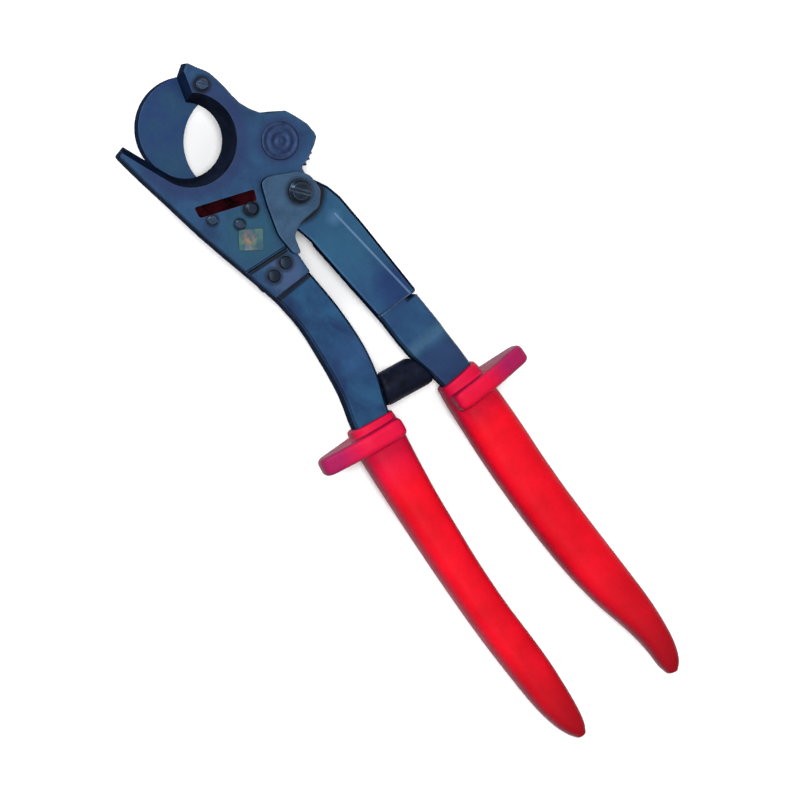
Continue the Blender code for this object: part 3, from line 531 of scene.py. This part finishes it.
def patterned_bolt():
    """The main bolt: a low disc head with plain turned rings on its face, and its shank."""
    profile = [(0.0, 9.15)] + [(0.3 * i, 9.15) for i in range(1, 20)] + [(6.1, 9.25), (6.4, 9.1), (6.55, 8.95), (6.6, 8.8), (4.0, 8.8), (4.0, -16.2), (3.6, -16.5), (0.0, -16.5)]
    count = 120
    bm = bmesh.new()
    rings = []
    for r, z in profile:
        if r == 0.0:
            rings.append([bm.verts.new(place(0, 0, z))])
            continue
        ring = []
        for k in range(count):
            a = math.tau * k / count
            lift = 0.0
            if z == 9.15:
                rings_up = math.sin(2.3 * r)
                lift = 0.1 * rings_up * min(1.0, (6.0 - r) / 0.7)
            ring.append(bm.verts.new(place(r * math.cos(a), r * math.sin(a), z + lift)))
        rings.append(ring)
    for low, high in zip(rings, rings[1:]):
        if len(low) == 1 or len(high) == 1:
            tip, rim = (low[0], high) if len(low) == 1 else (high[0], low)
            for k in range(count):
                bm.faces.new((tip, rim[k], rim[(k + 1) % count]))
        else:
            for k in range(count):
                j = (k + 1) % count
                bm.faces.new((low[k], low[j], high[j], high[k]))
    bmesh.ops.recalc_face_normals(bm, faces=bm.faces)
    return link_piece("main_bolt_turned", bm, "main_pivot_bolt", [PIVOT], 60.0)


patterned_bolt()
refine("main_nut_hex", "main_pivot_nut", PIN, 0.3, 2)
refine("thrust_washer_ring", "blade_thrust_washer", PIN, 0.1, 1)
refine("pivot_bush_ring", "blade_pivot_bush", BRONZE, 0.1, 1)
refine("pivot_screw_front_slotted", "handle_pivot_screw_front", SCREW, 0.15, 2)
refine("pivot_screw_rear_slotted", "handle_pivot_screw_rear", PIN, 0.15, 2)
refine("adjusting_screw_slotted", "blade_adjusting_screw", PIN, 0.1, 2)
refine("cover_screw_1_slotted", "body_cover_screw_1", PIN, 0.1, 2)
refine("cover_screw_2_slotted", "body_cover_screw_2", PIN, 0.1, 2)
refine("drive_pawl_lever", "drive_pawl", PIN, 0.12, 2)
refine("holding_pawl_lever", "holding_pawl", PIN, 0.12, 2)
refine("drive_pin_turned", "drive_pawl_pin", PIN, 0.1, 1)
refine("holding_pin_turned", "holding_pawl_pin", SCREW, 0.12, 2)
refine("holding_pin_ring", "holding_pawl_pin_clip", SPRING, 0.1, 1)
refine("drive_spring_wire", "drive_pawl_spring", SPRING, 0)
refine("holding_spring_wire", "holding_pawl_spring", SPRING, 0)
refine("rivet_1_domed", "body_rivet_1", SCREW, 0.15, 2, head=0.8)
refine("rivet_2_domed", "body_rivet_2", SCREW, 0.15, 2, head=0.8)
refine("release_knob_turned", "release_knob", PIN, 0.15, 2)
refine("rating_label_film", "rating_label", LABEL, 0.05, 1)
refine("bumper_moulded", "bumper", RUBBER, 0.5, 3)
refine("bumper_stud_rod", "bumper_stud", PIN, 0.1, 1)


# ------------------------------------------------------------------ grips
def through(points, count=3):
    pts = [Vector(p) for p in points]
    pts = [pts[0] * 2 - pts[1]] + pts + [pts[-1] * 2 - pts[-2]]
    out = []
    for i in range(1, len(pts) - 2):
        a, b, c, d = pts[i - 1 : i + 3]
        for k in range(count):
            t = k / count
            out.append(0.5 * (2 * b + (c - a) * t + (2 * a - 5 * b + 4 * c - d) * t * t + (3 * b - a - 3 * c + d) * t**3))
    out.append(pts[-2])
    return out


def loft(bm, rings):
    loops = [[bm.verts.new(place(*p)) for p in ring] for ring in rings]
    bm.faces.new(loops[0][::-1])
    bm.faces.new(loops[-1])
    for lower, upper in zip(loops, loops[1:]):
        for i in range(len(lower)):
            j = (i + 1) % len(lower)
            bm.faces.new((lower[i], lower[j], upper[j], upper[i]))


def rounded(points, radius, count=6):
    out = []
    for i, corner in enumerate(points):
        p = Vector(corner)
        before, after = Vector(points[i - 1]) - p, Vector(points[(i + 1) % len(points)]) - p
        reach = min(radius, before.length * 0.45, after.length * 0.45)
        a, b = p + before.normalized() * reach, p + after.normalized() * reach
        for k in range(count + 1):
            t = k / count
            out.append(tuple(a * (1 - t) ** 2 + p * 2 * t * (1 - t) + b * t**2))
    return out


def section(centre, along, half_w, half_t, corner=0.72, count=56):
    side = Vector((-along.y, along.x))
    ring = []
    for k in range(count):
        a = math.tau * k / count
        ca, sa = math.cos(a), math.sin(a)
        where = centre + side * (half_w * math.copysign(abs(ca) ** corner, ca))
        ring.append((where.x, where.y, GRIP_MID_Z + half_t * math.copysign(abs(sa) ** corner, sa)))
    return ring


def apply_all(obj):
    graph = bpy.context.evaluated_depsgraph_get()
    graph.update()
    mesh = bpy.data.meshes.new_from_object(obj.evaluated_get(graph))
    obj.modifiers.clear()
    obj.data = mesh


def grip(name, node, arm_node, outer, inner, half_t, guard_side, guard_near, guard_len, guard_move):
    count = 4
    out_line, in_line = through(outer, count), through(inner, count)
    thick = [v.x for v in through([(t, 0) for t in half_t], count)]
    mids = [(a + b) / 2 for a, b in zip(out_line, in_line)]
    bm = bmesh.new()
    rings = []
    for i in range(len(mids)):
        ahead = (mids[min(i + 1, len(mids) - 1)] - mids[max(i - 1, 0)]).normalized()
        rings.append(section(mids[i], ahead, (out_line[i] - in_line[i]).length / 2 + 0.2, thick[i] + 0.1))
    loft(bm, rings)
    at = 2 * count
    centre = mids[at]
    ahead = (mids[at + count] - mids[at - count]).normalized()
    side = Vector((-ahead.y, ahead.x)) * guard_side
    centre = centre + ahead * guard_move
    near, far, top, low = guard_near, guard_len, 7.2, FLOOR_Z
    fin = rounded(
        [(near, -11.5), (-2.6, low), (7.0, low), (far - 6.0, GRIP_MID_Z - 7.0), (far, GRIP_MID_Z - 4.0), (far, GRIP_MID_Z + 4.0), (far - 6.0, GRIP_MID_Z + 6.5), (7.0, top), (near, top)],
        3.8,
    )
    rings = []
    for step, grow in ((-3.3, -1.6), (-2.9, -0.6), (-2.0, 0.0), (2.0, 0.0), (2.9, -0.6), (3.3, -1.6)):
        ring = []
        mid_u = (near + far) / 2
        mid_z = (top + low) / 2
        for u, z in fin:
            d = Vector((u - mid_u, z - mid_z))
            d = d * max(0.0, (d.length + grow) / d.length)
            where = centre + side * (mid_u + d.x) + ahead * step
            ring.append((where.x, where.y, mid_z + d.y))
        rings.append(ring)
    loft(bm, rings)
    bmesh.ops.recalc_face_normals(bm, faces=bm.faces)
    obj = link_piece(name, bm, node, [VINYL], 80.0)
    remesh = obj.modifiers.new("mould", "REMESH")
    remesh.mode = "VOXEL"
    remesh.voxel_size = 0.00038
    remesh.use_smooth_shade = True
    smooth = obj.modifiers.new("blend", "SMOOTH")
    smooth.factor = 0.5
    smooth.iterations = 14
    apply_all(obj)
    cutter_bm = clean_copy(arm_node)
    bmesh.ops.recalc_face_normals(cutter_bm, faces=cutter_bm.faces)
    cutter_mesh = bpy.data.meshes.new(name + "_pocket")
    cutter_bm.to_mesh(cutter_mesh)
    cutter_bm.free()
    cutter = bpy.data.objects.new(name + "_pocket", cutter_mesh)
    bpy.context.scene.collection.objects.link(cutter)
    swell = cutter.modifiers.new("room", "DISPLACE")
    swell.strength = 0.00012
    swell.mid_level = 0.0
    pocket = obj.modifiers.new("pocket", "BOOLEAN")
    pocket.operation = "DIFFERENCE"
    pocket.solver = "EXACT"
    pocket.object = cutter
    apply_all(obj)
    bpy.data.objects.remove(cutter, do_unlink=True)
    for polygon in obj.data.polygons:
        polygon.use_smooth = True
    obj.data.set_sharp_from_angle(angle=math.radians(50))
    return obj


FIX_GRIP_OUT = [(-94.6, 40.2), (-98.0, 41.2), (-102.6, 42.0), (-112.0, 42.9), (-127.0, 44.2), (-142.0, 45.3), (-158.0, 46.3), (-174.0, 47.0), (-188.0, 47.2), (-199.0, 47.1), (-208.6, 46.8), (-217.0, 45.7), (-223.0, 43.8), (-226.6, 41.6)]
FIX_GRIP_IN = [(-96.9, 24.0), (-100.6, 24.3), (-105.4, 25.1), (-115.0, 26.9), (-129.0, 29.2), (-143.0, 30.9), (-159.0, 32.6), (-174.6, 33.5), (-188.0, 33.6), (-198.6, 33.9), (-208.0, 34.7), (-216.0, 35.7), (-222.4, 37.0), (-226.6, 39.0)]
FIX_T = [6.9, 7.1, 7.2, 7.2, 7.2, 7.2, 7.1, 7.0, 6.8, 6.4, 5.9, 5.3, 4.5, 3.0]
MOV_GRIP_OUT = [(-102.4, -8.9), (-105.2, -9.2), (-109.2, -9.4), (-117.0, -9.5), (-130.0, -8.9), (-142.0, -8.0), (-156.0, -7.4), (-170.0, -7.2), (-182.0, -7.2), (-194.0, -7.2), (-204.0, -7.1), (-212.0, -6.5), (-220.0, -5.2), (-226.2, -2.9), (-230.0, 0.2)]
MOV_GRIP_IN = [(-102.4, 6.1), (-105.0, 6.3), (-109.0, 6.9), (-117.0, 7.7), (-130.0, 8.9), (-142.0, 9.6), (-156.0, 10.0), (-170.0, 9.9), (-182.0, 9.3), (-193.0, 7.9), (-203.0, 5.9), (-211.6, 4.4), (-220.0, 3.8), (-226.4, 4.0), (-230.2, 3.2)]
MOV_T = [6.9, 7.1, 7.2, 7.2, 7.2, 7.2, 7.2, 7.1, 7.0, 6.8, 6.4, 5.9, 5.2, 4.2, 2.6]

grip("fixed_grip_moulded", "fixed_grip", "fixed_arm", FIX_GRIP_OUT, FIX_GRIP_IN, FIX_T, -1, -8.3, 22.4, -2.4)
grip("moving_grip_moulded", "moving_grip", "moving_arm", MOV_GRIP_OUT, MOV_GRIP_IN, MOV_T, 1, -7.4, 24.0, 0.6)

# ------------------------------------------------------------------ floor, light, camera
floor_mesh = bpy.data.meshes.new("floor")
half = 3.0
floor_mesh.from_pydata([(-half, -half, -0.0002), (half, -half, -0.0002), (half, half, -0.0002), (-half, half, -0.0002)], [], [(0, 1, 2, 3)])
floor = bpy.data.objects.new("floor", floor_mesh)
bpy.context.scene.collection.objects.link(floor)
pale = Shade("floor_pale")
pale.link(pale.ramp(pale.noise(6.0, 2.0, 0.5), [(0.4, (0.93, 0.93, 0.93, 1)), (0.6, (0.95, 0.95, 0.95, 1))]), pale.shader.inputs["Base Color"])
pale.shader.inputs["Roughness"].default_value = 0.9
pale.shader.inputs["Specular IOR Level"].default_value = 0.1
floor_mesh.materials.append(pale.material)

RIGHT = Vector((-0.602, -0.755, 0.259)).normalized()
UP = Vector((0.782, -0.623, 0.0)).normalized()
BACK = RIGHT.cross(UP).normalized()
UP = BACK.cross(RIGHT).normalized()
AIM = place(-96.2, 20.0, 0.0)


def area_light(name, towards, distance, size, power, colour=(1, 1, 1)):
    data = bpy.data.lights.new(name, "AREA")
    data.shape = "DISK"
    data.size = size
    data.energy = power
    data.color = colour
    obj = bpy.data.objects.new(name, data)
    direction = towards.normalized()
    obj.location = AIM + direction * distance
    obj.rotation_mode = "QUATERNION"
    obj.rotation_quaternion = direction.to_track_quat("Z", "Y")
    bpy.context.scene.collection.objects.link(obj)
    return obj


area_light("key", -RIGHT * 0.7 + UP * 0.8 + BACK * 1.0, 1.1, 0.4, 9.0)
area_light("front", RIGHT * 0.03 + UP * 0.03 + BACK * 1.0, 4.6, 1.2, 150.0)

world = bpy.data.worlds.new("studio")
bpy.context.scene.world = world
world.use_nodes = True
tree = world.node_tree
sky = tree.nodes.new("ShaderNodeTexCoord")
split = tree.nodes.new("ShaderNodeSeparateXYZ")
rise = tree.nodes.new("ShaderNodeMapRange")
rise.inputs["From Min"].default_value = 0.1
rise.inputs["From Max"].default_value = 0.65
rise.inputs["To Min"].default_value = 0.3
rise.inputs["To Max"].default_value = 1.05
tree.links.new(sky.outputs["Generated"], split.inputs["Vector"])
tree.links.new(split.outputs["Z"], rise.inputs["Value"])
tree.links.new(rise.outputs["Result"], tree.nodes["Background"].inputs["Strength"])
tree.nodes["Background"].inputs["Color"].default_value = (1, 1, 1, 1)

camera_data = bpy.data.cameras.new("camera")
camera = bpy.data.objects.new("camera", camera_data)
distance = 4.0
camera_data.sensor_width = 36.0
camera_data.lens = 36.0 * distance / 0.272
camera_data.clip_start = 0.05
camera_data.clip_end = 20.0
camera.rotation_mode = "QUATERNION"
camera.rotation_quaternion = Matrix((RIGHT, UP, BACK)).transposed().to_quaternion()
camera.location = AIM + BACK * distance
bpy.context.scene.collection.objects.link(camera)
bpy.context.scene.camera = camera

view = bpy.context.scene.view_settings
view.view_transform = "Standard"
view.look = "None"
view.exposure = 0.0
view.gamma = 1.0
